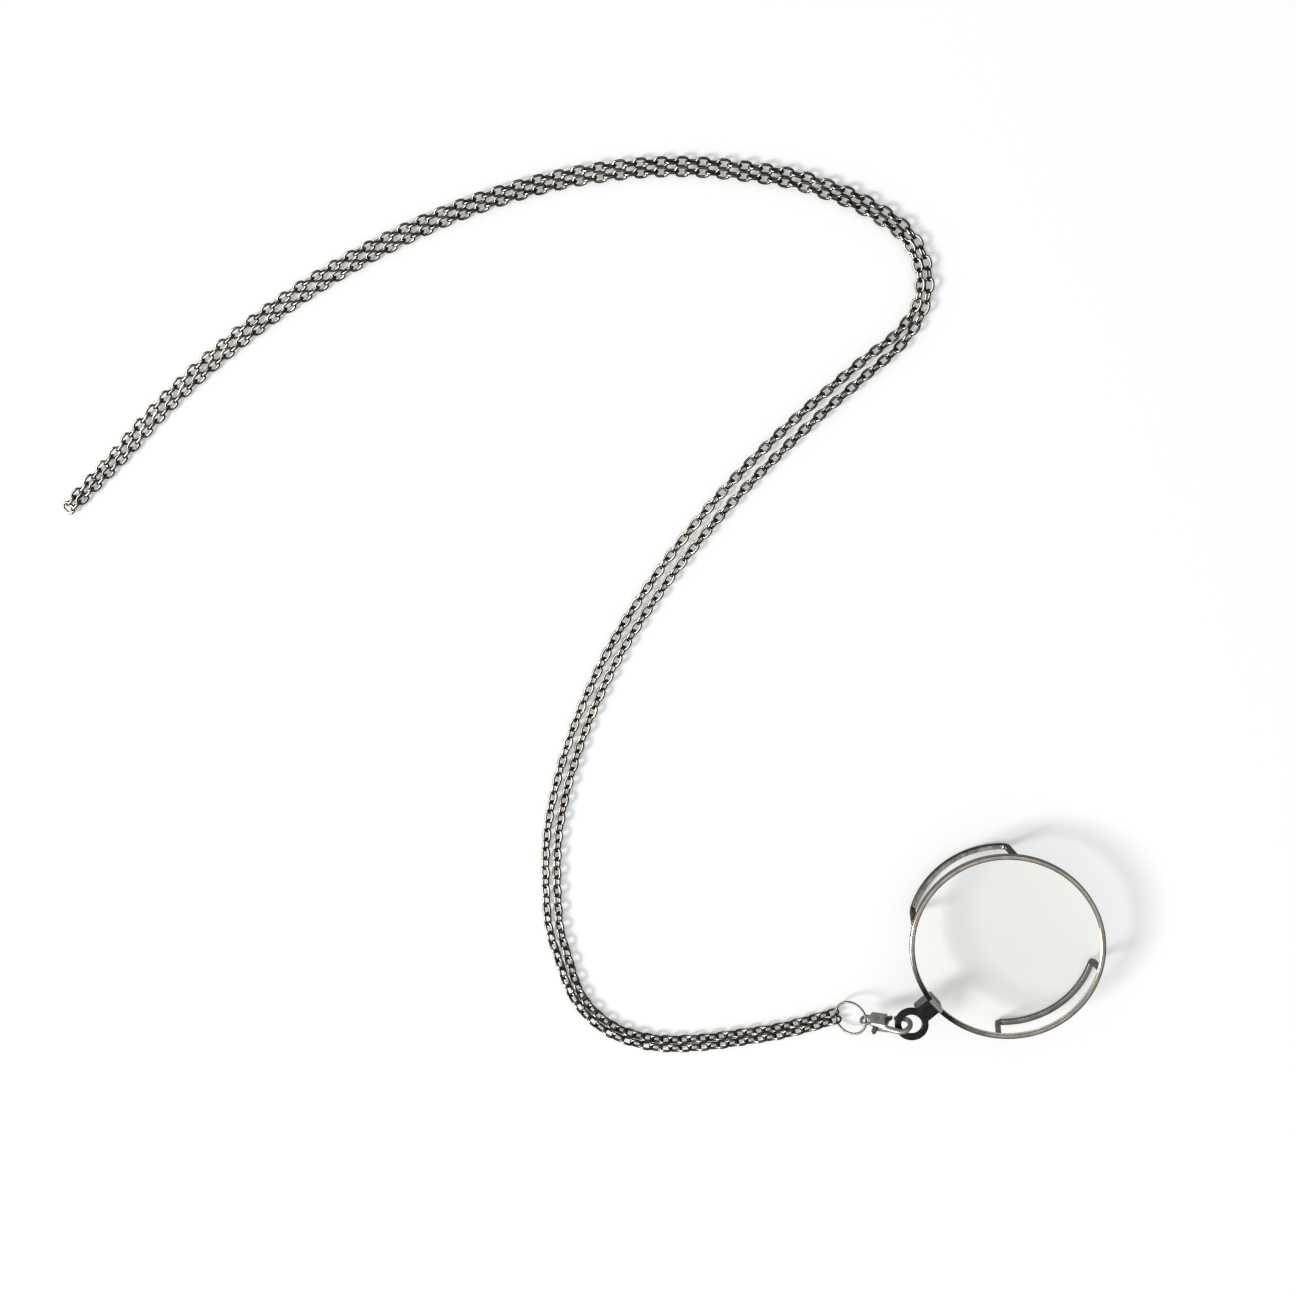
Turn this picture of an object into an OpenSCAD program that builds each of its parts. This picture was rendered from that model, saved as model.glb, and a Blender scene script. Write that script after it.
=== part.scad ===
/* [Rim] */
// Outside diameter of the rim
rim_od = 40; // [34:0.5:46]
// Wall of the rim, measured outwards
rim_wall = 1.05; // [0.9:0.05:1.5]
// Height of the rim along the lens axis
rim_h = 1.5; // [1.3:0.1:2.5]
// Rounding of the rim's edges
rim_round = 0.25; // [0.1:0.05:0.3]
// Depth of the groove that holds the lens
groove_depth = 0.45; // [0.3:0.05:0.6]

/* [Lens] */
// Thickness of the lens
lens_t = 1.3; // [1.1:0.05:2]
// Radius of the lens's front and back curves
lens_curve = 400; // [200:20:1200]
// Gap between the lens's bevel and the groove
lens_gap = 0.03; // [0.01:0.01:0.1]

/* [Galleries] */
// Distance from the rim's back down to the face that rests on the brow
gallery_depth = 7.3; // [5:0.1:10]
// Width of the gallery wire, measured outwards
gallery_w = 1.15; // [0.8:0.05:1.4]
// Height of the gallery wire
gallery_h = 1.15; // [0.8:0.05:1.4]
// Rounding of the gallery wire's edges
gallery_round = 0.3; // [0.1:0.05:0.38]
// Angle that one gallery bar takes round the rim
gallery_span = 70; // [50:1:90]
// Inside radius of the bend between bar and leg
gallery_bend = 0.6; // [0.4:0.1:1.5]
// Angle of the galleries off the line square to the hanger
gallery_turn = -5.6; // [-10:0.2:10]

/* [Hanger] */
// Distance from the lens axis to the middle of the hanger's eye
eye_reach = 26.1; // [24.5:0.1:30]
// Outside diameter of the hanger's eye
eye_od = 7.1; // [6.9:0.1:7.8]
// Hole in the hanger's eye
eye_hole = 4.3; // [4.2:0.1:4.6]
// Thickness of the hanger
eye_t = 0.9; // [0.8:0.05:1]
// Rounding of the hanger's edges
eye_round = 0.2; // [0.05:0.05:0.35]
// Width of the hanger's neck
neck_w = 3.3; // [2.4:0.1:4]
// Height of the closing block under the hanger's neck
block_h = 3.6; // [2:0.1:4.5]

/* [Clasp] */
// Thickness of the clasp's body
clasp_t = 2.3; // [2.1:0.1:2.8]
// Radius of the clasp's body across its flats
clasp_r = 1.9; // [1.8:0.05:2.1]
// Distance from the tail eye to the middle of the hook's bow
hook_reach = 8.3; // [8:0.1:9]
// Radius of the hook's middle line
hook_r = 1.8; // [1.75:0.05:2]
// Thickness of the hook
hook_d = 1.1; // [0.9:0.02:1.2]
// Radius of the tail eye's middle line
tail_r = 1.1; // [1.05:0.05:1.3]
// Thickness of the tail eye
tail_d = 0.7; // [0.5:0.05:0.75]
// Thickness of the lever
lever_t = 0.8; // [0.6:0.05:0.85]
// Width of the gate where it meets the hook's tip
gate_w = 0.7; // [0.5:0.05:0.8]
// Diameter of the rivet
rivet_d = 0.8; // [0.6:0.05:0.9]
// Running clearance round the rivet, and beside the lever
play = 0.05; // [0.02:0.01:0.08]
// Thickness of the spring's strip
spring_t = 0.18; // [0.1:0.01:0.2]

/* [Jump ring] */
// Outside diameter of the jump ring
ring_od = 7.7; // [7.4:0.1:8.5]
// Wire of the jump ring
ring_wire = 0.5; // [0.4:0.05:0.6]
// Opening between the jump ring's ends
ring_slit = 0.08; // [0.02:0.02:0.2]

/* [Chain] */
// Outside length of a link
link_l = 3.22; // [3.2:0.02:3.4]
// Outside width of a link
link_w = 2.3; // [2.24:0.02:2.4]
// Wire of a link
link_wire = 0.46; // [0.4:0.01:0.47]
// Distance from one link to the next
link_pitch = 2.09; // [2.04:0.01:2.1]
// Lean of the links away from an even 45 degrees
link_lean = 18; // [10:1:20]
// Links in each of the two strands
link_count = 217; // [201:2:217]

/* [Hidden] */
$fn = 64;

// The origin is under the middle of the rim and hanger, on the plane that the galleries rest on
lens_x = (eye_reach + eye_od / 2 - rim_od / 2) / 2;
rim_mid_z = gallery_depth + rim_h / 2;
// The hanger is flush with the rim's back
eye_z = gallery_depth + eye_t / 2;
rim_mid_r = rim_od / 2 - rim_wall / 2;
rim_in_r = rim_od / 2 - rim_wall;
// The lens's bevel fits the groove, and its curves leave the edge in the groove's middle
bevel = groove_depth - lens_gap;
lens_r = rim_in_r + bevel;
lens_sag = lens_curve - sqrt(lens_curve * lens_curve - lens_r * lens_r);
// Lean of the gallery's legs, outwards along the bar
leg_lean = 6;
// Angle by which a bar runs into its bends, so that they are one piece
joint_angle = 0.2;
// The bends' section is this much larger all round than the bar's
bend_ease = 0.01;
eye_x = lens_x - eye_reach;
eye_mid_r = (eye_od + eye_hole) / 4;
// The closing block ends this far short of the eye's hole
block_gap = 0.25;

// The jump ring leans on the clasp's tail, with its far side down in the first links
ring_r = (ring_od - ring_wire) / 2;
ring_lean = 27;
ring_low_z = 0.95;
ring_high_z = ring_low_z + 2 * ring_r * sin(ring_lean);

// The clasp is turned about the hanger's eye, slopes down to the ring, and is rolled
clasp_yaw = -36.5;
clasp_roll = -66;
// The place in the hook's loop that the eye's wire lies in, from the tail eye
seat_x = hook_reach - 0.9;
clasp_pitch = asin((eye_z - ring_high_z) / seat_x);
tail_reach = eye_mid_r + seat_x * cos(clasp_pitch);
away = -[cos(clasp_yaw), sin(clasp_yaw)];
tail_xy = [eye_x, 0] + tail_reach * away;
ring_xy = tail_xy + ring_r * cos(ring_lean) * away;
chain_xy = tail_xy + 2 * ring_r * cos(ring_lean) * away;

// Places in the clasp's own plane: x from the tail to the hook, y to the gate's side
pivot = [3.1, 0];
// The arms reach this far into the bow, and the loop is cut this much smaller than it
bow_lap = 0.05;
loop_r = hook_r - hook_d / 2 - bow_lap;
loop_start = 5.9;
front_x = 4.6;
wide_x = 1.9;
gate_tip = [hook_reach - 2.85, hook_r - 0.15];
thumb = [2.85, -2.75];
thumb_d = 0.9;
hub_r = 1;
tip_d = 0.84;
tip_gap = 0.08;
spring_r = 0.75;
// The slot holds the lever in its middle and the spring beside it
slot_low = -lever_t / 2 - play;
slot_high = lever_t / 2 + spring_t + 2 * play;

// Route of the chain's middle line, measured from the low side of the ring
route = [
  [0, 0], [-10, 4.5], [-18.5, 9.5], [-27, 15], [-34.5, 21.5], [-39.5, 30], [-40, 39.5],
  [-36, 49], [-31, 57.5], [-17.5, 71.5], [-0.5, 82.5], [18, 90.5], [37, 95.5], [57, 98.5],
  [77, 99.5], [96, 99], [105.5, 98.5], [113, 100.5], [118, 105.5], [120, 113],
  [118, 122], [115, 129], [109, 139], [96, 154], [80.5, 166.5], [63, 176.5],
  [44.5, 184], [25.5, 189.5], [6, 193], [-14, 194.5], [-34, 194], [-60, 194]
];
// Distance between the two strands, at distances along the route
spread = [
  [0, 1.7], [30, 1.95], [60, 1.9], [80, 2.5], [140, 2.6], [190, 3.0], [222, 2.7],
  [236, 1.75], [255, 1.75], [270, 1.85], [330, 1.9], [380, 2.2], [435, 2.0], [450, 1.5]
];
route_steps = 8;
// Where the first link's middle lies along the route
first_link = 0.45;
// Where the link across the fold lies beyond the last link
fold_step = 1.6;
// First and last link of each stretch of a strand, and of the two tight bends between them
fold_links = 3;
stretches = [
  [0, 23], [28, 57], [58, 87], [88, 116], [121, 151], [152, 182],
  [183, link_count - fold_links - 1]
];
bends = [[24, 27], [117, 120]];

function bent(i, t) =
  let (
    last = len(route) - 1,
    a = route[max(i - 1, 0)], b = route[i], c = route[min(i + 1, last)], d = route[min(i + 2, last)]
  )
  b + t * (c - a) / 2 + t * t * (a - 2.5 * b + 2 * c - d / 2)
  + t * t * t * (-a + 3 * b - 3 * c + d) / 2;
fine = [
  for (i = [0:len(route) - 2]) for (k = [0:route_steps - 1]) bent(i, k / route_steps),
  route[len(route) - 1]
];
reach = [
  for (i = 0, run = 0; i < len(fine); run = run + norm(fine[min(i + 1, len(fine) - 1)] - fine[i]), i = i + 1)
    run
];
route_x = [for (i = [0:len(fine) - 1]) [reach[i], fine[i].x]];
route_y = [for (i = [0:len(fine) - 1]) [reach[i], fine[i].y]];
function route_at(s) = [lookup(s, route_x), lookup(s, route_y)];
function route_way(s) =
  let (d = route_at(s + link_pitch) - route_at(s - link_pitch)) atan2(d.y, d.x);
function beside(s, side) =
  let (w = route_way(s), h = side * lookup(s, spread) / 2)
  route_at(s) + h * [-sin(w), cos(w)];
function link_place(i) = first_link + i * link_pitch;

// Height of the links' middles, which leaves the steepest ones standing on the surface
chain_z = (link_w - link_wire) / 2 * sin(45 + link_lean) + link_wire / 2;

module rounded_bar(w, h, r) {
  square([w - 2 * r, h], center = true);
  square([w, h - 2 * r], center = true);
  for (x = [-1, 1]) for (y = [-1, 1])
    translate([x * (w / 2 - r), y * (h / 2 - r)]) circle(r = r);
}

module rim() {
  color("dimgray")
  translate([lens_x, 0, rim_mid_z])
  rotate_extrude($fn = 180)
  translate([rim_mid_r, 0])
  difference() {
    rounded_bar(rim_wall, rim_h, rim_round);
    translate([-rim_wall / 2, 0])
    polygon([[-1, -1 - groove_depth], [groove_depth, 0], [-1, 1 + groove_depth]]);
  }
}

module lens() {
  color("azure", 0.4)
  translate([lens_x, 0, rim_mid_z])
  difference() {
    intersection() {
      union() {
        cylinder(r = lens_r - bevel, h = 3 * lens_t, center = true, $fn = 180);
        translate([0, 0, -bevel]) cylinder(r1 = lens_r - bevel, r2 = lens_r, h = bevel, $fn = 180);
        cylinder(r1 = lens_r, r2 = lens_r - bevel, h = bevel, $fn = 180);
      }
      translate([0, 0, lens_t / 2 + lens_sag - lens_curve]) sphere(r = lens_curve, $fn = 360);
    }
    translate([0, 0, -lens_t / 2 + lens_sag - lens_curve]) sphere(r = lens_curve, $fn = 360);
  }
}

module gallery_section(ease = 0) {
  rounded_bar(gallery_w + 2 * ease, gallery_h + 2 * ease, gallery_round + ease);
}

// Bend and leg at one end of a gallery bar; side is 1 or -1 along the bar
module leg(side) {
  turn_r = gallery_bend + gallery_h / 2;
  mirror([0, side < 0 ? 1 : 0, 0])
  translate([rim_mid_r, 0, turn_r + gallery_h / 2 + 1.5 * bend_ease])
  rotate([0, 90, 0]) {
    rotate_extrude(angle = 90 - leg_lean) translate([turn_r, 0]) rotate(90) gallery_section(bend_ease);
    rotate(90 - leg_lean) translate([turn_r, -5 * bend_ease, 0]) rotate([-90, 0, 0])
    linear_extrude(1.2 * gallery_depth) rotate(90) gallery_section();
  }
}

module gallery(middle) {
  color("gray")
  translate([lens_x, 0, 0])
  rotate(middle) {
    rotate(-gallery_span / 2 - joint_angle)
    rotate_extrude(angle = gallery_span + 2 * joint_angle, $fn = 180)
    translate([rim_mid_r, gallery_h / 2]) gallery_section();
    difference() {
      union() {
        rotate(gallery_span / 2) leg(1);
        rotate(-gallery_span / 2) leg(-1);
      }
      translate([-rim_od, -rim_od, gallery_depth]) cube(2 * rim_od);
    }
  }
}
module upper_gallery() { gallery(90 + gallery_turn); }
module lower_gallery() { gallery(270 + gallery_turn); }

module hanger() {
  neck_x = -eye_reach + eye_hole / 2 + eye_round;
  color("darkslategray")
  translate([lens_x, 0, eye_z]) {
    translate([-eye_reach, 0, 0])
    rotate_extrude($fn = 96)
    translate([eye_mid_r, 0]) rounded_bar((eye_od - eye_hole) / 2, eye_t, eye_round);
    difference() {
      translate([neck_x, -neck_w / 2, -eye_t / 2]) cube([-rim_mid_r - neck_x, neck_w, eye_t]);
      translate([-eye_reach, 0, 0]) cylinder(d = eye_hole + 2 * eye_round, h = 3 * eye_t, center = true);
      cylinder(r = rim_od / 2, h = 3 * eye_t, center = true, $fn = 180);
    }
  }
}

// Block that joins the rim's ends, flat against the backs of the rim and the neck
module closing_block() {
  block_l = eye_reach - eye_hole / 2 - block_gap - rim_in_r;
  color("darkslategray")
  translate([lens_x - rim_in_r - block_l / 2, 0, gallery_depth - block_h])
  linear_extrude(block_h) rounded_bar(block_l, neck_w, eye_round);
}

module in_clasp() {
  translate([tail_xy.x, tail_xy.y, ring_high_z])
  rotate([0, -clasp_pitch, clasp_yaw]) rotate([clasp_roll, 0, 0])
  children();
}

// A round bar from one point of the clasp's plane to another
module taper(a, b, ra, rb) {
  d = b - a;
  translate([a.x, a.y, 0]) rotate([0, 90, atan2(d.y, d.x)]) cylinder(r1 = ra, r2 = rb, h = norm(d));
}

module rivet_hole() {
  translate([pivot.x, pivot.y, 0]) cylinder(d = rivet_d + 2 * play, h = 2 * clasp_t, center = true);
}

// Outline of the clasp's barrel, cut away where the thumb piece swings back
module barrel_outline() {
  polygon([
    [0.9, 0.45], [1.3, 2], [front_x, 2.2], [front_x, 0], [front_x + 1, -2.2],
    [2.4, -2.2], [1.5, -0.6], [0.9, -0.45]
  ]);
}

module clasp_body() {
  color("silver")
  in_clasp()
  difference() {
    union() {
      rotate_extrude() translate([tail_r, 0]) circle(d = tail_d);
      intersection() {
        taper([0.8, 0], [front_x + 1, 0], clasp_r, clasp_r);
        translate([0, 0, -clasp_t / 2]) linear_extrude(clasp_t) barrel_outline();
      }
      intersection() {
        taper([wide_x + 1.5, -0.9], [hook_reach + bow_lap, -hook_r], 1, hook_d / 2 - bend_ease);
        cube([40, 20, clasp_t], center = true);
      }
      translate([hook_reach, 0, 0])
      rotate(-90) rotate_extrude(angle = 180) translate([hook_r, 0]) circle(d = hook_d);
      taper([hook_reach + bow_lap, hook_r], gate_tip, hook_d / 2 - bend_ease, tip_d / 2);
    }
    translate([0, 0, slot_low]) {
      translate(pivot) cylinder(r = hub_r + 2 * play, h = slot_high - slot_low);
      linear_extrude(slot_high - slot_low)
      polygon([pivot + [-0.5, 0.9], pivot + [0.4, 2.4], [6, 2.4], [6, -0.9], pivot + [0.6, -0.9]]);
      linear_extrude(slot_high - slot_low)
      polygon([pivot + [-1, 0.3], [1.2, -1], [0.8, -2.4], pivot + [0.4, -2.4], pivot + [0.55, -0.9]]);
    }
    translate([loop_start, 0, 0]) cylinder(r = loop_r, h = 2 * clasp_t, center = true);
    translate([loop_start, -loop_r, -clasp_t])
    cube([hook_reach - loop_start - bow_lap, loop_r, 2 * clasp_t]);
    translate([front_x, 0, -clasp_t]) cube([gate_tip.x + tip_gap - front_x, 2 * hook_r, 2 * clasp_t]);
    rivet_hole();
  }
}

module clasp_lever() {
  color("gainsboro")
  in_clasp()
  translate([0, 0, -lever_t / 2])
  difference() {
    union() {
      translate(pivot) cylinder(r = hub_r, h = lever_t);
      linear_extrude(lever_t)
      polygon([
        pivot + [-0.3, 0.8], [front_x, gate_tip.y], gate_tip + [0, gate_w / 2],
        gate_tip - [0, gate_w / 2], [front_x, gate_tip.y - gate_w - 0.2], pivot + [0.65, -0.6]
      ]);
      linear_extrude(lever_t)
      polygon([pivot + [-0.8, 0.1], thumb + [-0.4, -0.1], thumb + [0.4, -0.1], pivot + [0.4, -0.7]]);
      translate(thumb) cylinder(d = thumb_d, h = lever_t);
    }
    rivet_hole();
  }
}

module clasp_rivet() {
  color("darkgray")
  in_clasp()
  translate([pivot.x, pivot.y, 0])
  cylinder(d = rivet_d, h = clasp_t, center = true);
}

// A flat turn round the rivet, with a leg to the gate and a leg to the thumb piece
module clasp_spring() {
  color("lightgray")
  in_clasp()
  translate([pivot.x, pivot.y, slot_high - play - spring_t])
  difference() {
    union() {
      cylinder(r = spring_r, h = spring_t);
      rotate(8) translate([0, spring_r - 1.4 * spring_t, 0]) cube([1.35, spring_t, spring_t]);
      rotate(-100) translate([0, 1.4 * spring_t - spring_r, 0]) cube([1.3, spring_t, spring_t]);
    }
    cylinder(r = spring_r - spring_t, h = 3 * spring_t, center = true);
  }
}

module jump_ring() {
  slit_angle = 360 * ring_slit / (2 * PI * ring_r);
  color("rosybrown")
  translate([ring_xy.x, ring_xy.y, (ring_low_z + ring_high_z) / 2])
  rotate([0, -ring_lean, clasp_yaw])
  rotate(-100)
  rotate_extrude(angle = 360 - slit_angle, $fn = 96) translate([ring_r, 0]) circle(d = ring_wire);
}

module link() {
  leg_x = (link_l - link_w) / 2;
  bow_r = (link_w - link_wire) / 2;
  for (end = [-1, 1])
    translate([end * leg_x, 0, 0]) rotate(-90 * end)
    rotate_extrude(angle = 180) translate([bow_r, 0]) circle(d = link_wire);
  translate([-leg_x, bow_r, 0]) rotate([0, 90, 0]) cylinder(d = link_wire, h = 2 * leg_x);
  translate([-leg_x, -bow_r, 0]) rotate([0, 90, 0]) cylinder(d = link_wire, h = 2 * leg_x);
}

// Links of one strand, every other one turned a quarter round; side is 1 left and -1 right
module strand(side, ends) {
  color("dimgray")
  for (i = [ends[0]:ends[1]]) {
    s = link_place(i);
    p = beside(s, side);
    d = beside(s + link_pitch, side) - beside(s - link_pitch, side);
    translate([chain_xy.x + p.x, chain_xy.y + p.y, chain_z])
    rotate(atan2(d.y, d.x))
    rotate([i % 2 == 0 ? 45 + link_lean : link_lean - 45, 0, 0])
    link();
  }
}

module left_strand_1() { strand(1, stretches[0]); }
module left_strand_2() { strand(1, stretches[1]); }
module left_strand_3() { strand(1, stretches[2]); }
module left_strand_4() { strand(1, stretches[3]); }
module left_strand_5() { strand(1, stretches[4]); }
module left_strand_6() { strand(1, stretches[5]); }
module left_strand_7() { strand(1, stretches[6]); }
module right_strand_1() { strand(-1, stretches[0]); }
module right_strand_2() { strand(-1, stretches[1]); }
module right_strand_3() { strand(-1, stretches[2]); }
module right_strand_4() { strand(-1, stretches[3]); }
module right_strand_5() { strand(-1, stretches[4]); }
module right_strand_6() { strand(-1, stretches[5]); }
module right_strand_7() { strand(-1, stretches[6]); }
module first_bend() { for (side = [-1, 1]) strand(side, bends[0]); }
module second_bend() { for (side = [-1, 1]) strand(side, bends[1]); }
module chain_fold() {
  s = link_place(link_count - 1) + fold_step;
  p = route_at(s);
  color("dimgray") {
    for (side = [-1, 1]) strand(side, [link_count - fold_links, link_count - 1]);
    translate([chain_xy.x + p.x, chain_xy.y + p.y, chain_z])
    rotate(route_way(s - link_pitch) + 90)
    link();
  }
}

rim();
lens();
upper_gallery();
lower_gallery();
hanger();
closing_block();
clasp_body();
clasp_lever();
clasp_rivet();
clasp_spring();
jump_ring();
left_strand_1();
left_strand_2();
left_strand_3();
left_strand_4();
left_strand_5();
left_strand_6();
left_strand_7();
right_strand_1();
right_strand_2();
right_strand_3();
right_strand_4();
right_strand_5();
right_strand_6();
right_strand_7();
first_bend();
second_bend();
chain_fold();
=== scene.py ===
import bpy
import bmesh
import math
import random
from mathutils import Matrix, Vector


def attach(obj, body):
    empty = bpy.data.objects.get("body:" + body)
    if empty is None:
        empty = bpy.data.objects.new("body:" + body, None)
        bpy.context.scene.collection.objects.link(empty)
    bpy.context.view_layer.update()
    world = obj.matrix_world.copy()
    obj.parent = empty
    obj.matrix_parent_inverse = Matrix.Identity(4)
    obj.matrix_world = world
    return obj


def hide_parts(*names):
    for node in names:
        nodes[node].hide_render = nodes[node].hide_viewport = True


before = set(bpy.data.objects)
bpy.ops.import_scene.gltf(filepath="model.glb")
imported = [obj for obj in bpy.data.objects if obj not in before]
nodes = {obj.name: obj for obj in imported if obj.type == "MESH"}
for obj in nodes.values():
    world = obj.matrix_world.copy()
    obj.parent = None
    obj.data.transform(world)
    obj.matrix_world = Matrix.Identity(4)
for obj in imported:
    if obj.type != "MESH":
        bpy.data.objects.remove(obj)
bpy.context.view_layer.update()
random.seed(11)
mm = 0.001               # sizes below are in millimetres, the scene is in metres
mergeDistance = 0.0001   # points closer than this are one
sharpAngle = 35          # an edge between faces at more degrees than this is sharp

# Camera at the photograph's place: nearly straight above, turned to the photograph's upright
cameraSettings = {
    "lens": 38.889,
    "sensor": 36.0,
    "place": (42.866, 110.049, 292.09),
    "turn": (-8.8667, 5.5507, -43.1),   # degrees
    "clip": (0.01, 20),                 # metres
}


def makeCamera(s):
    data = bpy.data.cameras.new("photoCamera")
    data.lens = s["lens"]
    data.sensor_width = s["sensor"]
    data.clip_start, data.clip_end = s["clip"]
    camera = bpy.data.objects.new("photoCamera", data)
    bpy.context.scene.collection.objects.link(camera)
    camera.location = [v * mm for v in s["place"]]
    camera.rotation_euler = [math.radians(v) for v in s["turn"]]
    bpy.context.scene.camera = camera


makeCamera(cameraSettings)
bpy.context.scene.view_settings.view_transform = "Standard"
print("camera placed")


# Node helpers
def addNode(tree, kind, x, y, **values):
    node = tree.nodes.new(kind)
    node.location = (x, y)
    for name, value in values.items():
        setattr(node, name, value)
    return node


def greyRamp(node, stops):
    elements = node.color_ramp.elements
    while len(elements) < len(stops):
        elements.new(0.5)
    for element, (position, level) in zip(elements, stops):   # the levels are grey
        element.position = position
        element.color = (level, level, level, 1)


def newGroup(name, inputs, outputs):
    group = bpy.data.node_groups.new(name, "ShaderNodeTree")
    for label, kind, default in inputs:
        socket = group.interface.new_socket(name=label, in_out="INPUT", socket_type=kind)
        socket.default_value = default
    for label, kind in outputs:
        group.interface.new_socket(name=label, in_out="OUTPUT", socket_type=kind)
    start = addNode(group, "NodeGroupInput", -900, 0)
    end = addNode(group, "NodeGroupOutput", 600, 0)
    return group, start, end


# Cloudy patches where the plating has dulled
tarnishSettings = {
    "detail": 4, "roughness": 0.62, "clearBelow": 0.62, "dullAbove": 0.38, "sharpening": 0.3,
}


def makeTarnishGroup(s):
    group, start, end = newGroup(
        "platingTarnish",
        [("Scale", "NodeSocketFloat", 900.0), ("Spread", "NodeSocketFloat", 0.5)],
        [("Mask", "NodeSocketFloat")],
    )
    place = addNode(group, "ShaderNodeTexCoord", -700, 0)
    clouds = addNode(group, "ShaderNodeTexNoise", -500, 0)
    clouds.inputs["Detail"].default_value = s["detail"]
    clouds.inputs["Roughness"].default_value = s["roughness"]
    low = addNode(group, "ShaderNodeMath", -300, -150, operation="SUBTRACT")
    low.inputs[0].default_value = s["clearBelow"]
    high = addNode(group, "ShaderNodeMath", -300, -320, operation="ADD")
    high.inputs[0].default_value = s["dullAbove"]
    spread = addNode(group, "ShaderNodeMath", -500, -250, operation="MULTIPLY")
    spread.inputs[1].default_value = s["sharpening"]
    remap = addNode(group, "ShaderNodeMapRange", -80, 0)
    links = group.links
    links.new(place.outputs["Object"], clouds.inputs["Vector"])
    links.new(start.outputs["Scale"], clouds.inputs["Scale"])
    links.new(start.outputs["Spread"], spread.inputs[0])
    links.new(spread.outputs[0], low.inputs[1])
    links.new(spread.outputs[0], high.inputs[1])
    links.new(clouds.outputs["Fac"], remap.inputs["Value"])
    links.new(low.outputs[0], remap.inputs["From Min"])
    links.new(high.outputs[0], remap.inputs["From Max"])
    links.new(remap.outputs["Result"], end.inputs["Mask"])
    return group


# Hairlines left by handling: layers of noise, each turned and drawn out along one direction
scratchSettings = {"layers": ((0.0, 14.0), (1.3, 9.0)), "detail": 2}


def makeScratchGroup(s):
    group, start, end = newGroup(
        "fineScratches",
        [("Scale", "NodeSocketFloat", 2500.0), ("Direction", "NodeSocketFloat", 0.6)],
        [("Height", "NodeSocketFloat")],
    )
    place = addNode(group, "ShaderNodeTexCoord", -700, 0)
    total = addNode(group, "ShaderNodeMath", 300, 0, operation="ADD")
    links = group.links
    for k, (turn, stretch) in enumerate(s["layers"]):
        y = -100 - 260 * k
        angle = addNode(group, "ShaderNodeMath", -600, y, operation="ADD")
        angle.inputs[1].default_value = turn
        rotate = addNode(group, "ShaderNodeVectorRotate", -420, y, rotation_type="Z_AXIS")
        squeeze = addNode(group, "ShaderNodeVectorMath", -240, y, operation="MULTIPLY")
        squeeze.inputs[1].default_value = (1 / stretch, 1, 1)
        lines = addNode(group, "ShaderNodeTexNoise", -60, y)
        lines.inputs["Detail"].default_value = s["detail"]
        links.new(start.outputs["Direction"], angle.inputs[0])
        links.new(place.outputs["Object"], rotate.inputs["Vector"])
        links.new(angle.outputs[0], rotate.inputs["Angle"])
        links.new(rotate.outputs[0], squeeze.inputs[0])
        links.new(squeeze.outputs[0], lines.inputs["Vector"])
        links.new(start.outputs["Scale"], lines.inputs["Scale"])
        links.new(lines.outputs["Fac"], total.inputs[k])
    links.new(total.outputs[0], end.inputs["Height"])
    return group


# Edges where the plating is rubbed bright: the bevelled normal differs from the face's own
edgeSettings = {"samples": 6, "flat": 0.995, "edge": 0.86, "bare": 0.35, "rubbed": 0.6}


def makeEdgeGroup(s):
    group, start, end = newGroup(
        "rubbedEdges",
        [("Width", "NodeSocketFloat", 0.00015), ("Breakup", "NodeSocketFloat", 1500.0)],
        [("Mask", "NodeSocketFloat")],
    )
    geometry = addNode(group, "ShaderNodeNewGeometry", -600, 200)
    bevel = addNode(group, "ShaderNodeBevel", -600, 0, samples=s["samples"])
    likeness = addNode(group, "ShaderNodeVectorMath", -380, 100, operation="DOT_PRODUCT")
    edge = addNode(group, "ShaderNodeMapRange", -180, 100)
    edge.inputs["From Min"].default_value = s["flat"]
    edge.inputs["From Max"].default_value = s["edge"]
    place = addNode(group, "ShaderNodeTexCoord", -600, -250)
    noise = addNode(group, "ShaderNodeTexNoise", -380, -250)
    broken = addNode(group, "ShaderNodeMapRange", -180, -250)
    broken.inputs["From Min"].default_value = s["bare"]
    broken.inputs["From Max"].default_value = s["rubbed"]
    both = addNode(group, "ShaderNodeMath", 100, 0, operation="MULTIPLY")
    links = group.links
    links.new(start.outputs["Width"], bevel.inputs["Radius"])
    links.new(geometry.outputs["Normal"], likeness.inputs[0])
    links.new(bevel.outputs["Normal"], likeness.inputs[1])
    links.new(likeness.outputs["Value"], edge.inputs["Value"])
    links.new(place.outputs["Object"], noise.inputs["Vector"])
    links.new(start.outputs["Breakup"], noise.inputs["Scale"])
    links.new(noise.outputs["Fac"], broken.inputs["Value"])
    links.new(edge.outputs["Result"], both.inputs[0])
    links.new(broken.outputs["Result"], both.inputs[1])
    links.new(both.outputs[0], end.inputs["Mask"])
    return group


tarnishGroup = makeTarnishGroup(tarnishSettings)
scratchGroup = makeScratchGroup(scratchSettings)
edgeGroup = makeEdgeGroup(edgeSettings)


def useGroup(tree, group, x, y, **values):
    node = addNode(tree, "ShaderNodeGroup", x, y)
    node.node_tree = group
    for name, value in values.items():
        node.inputs[name].default_value = value
    return node


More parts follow.
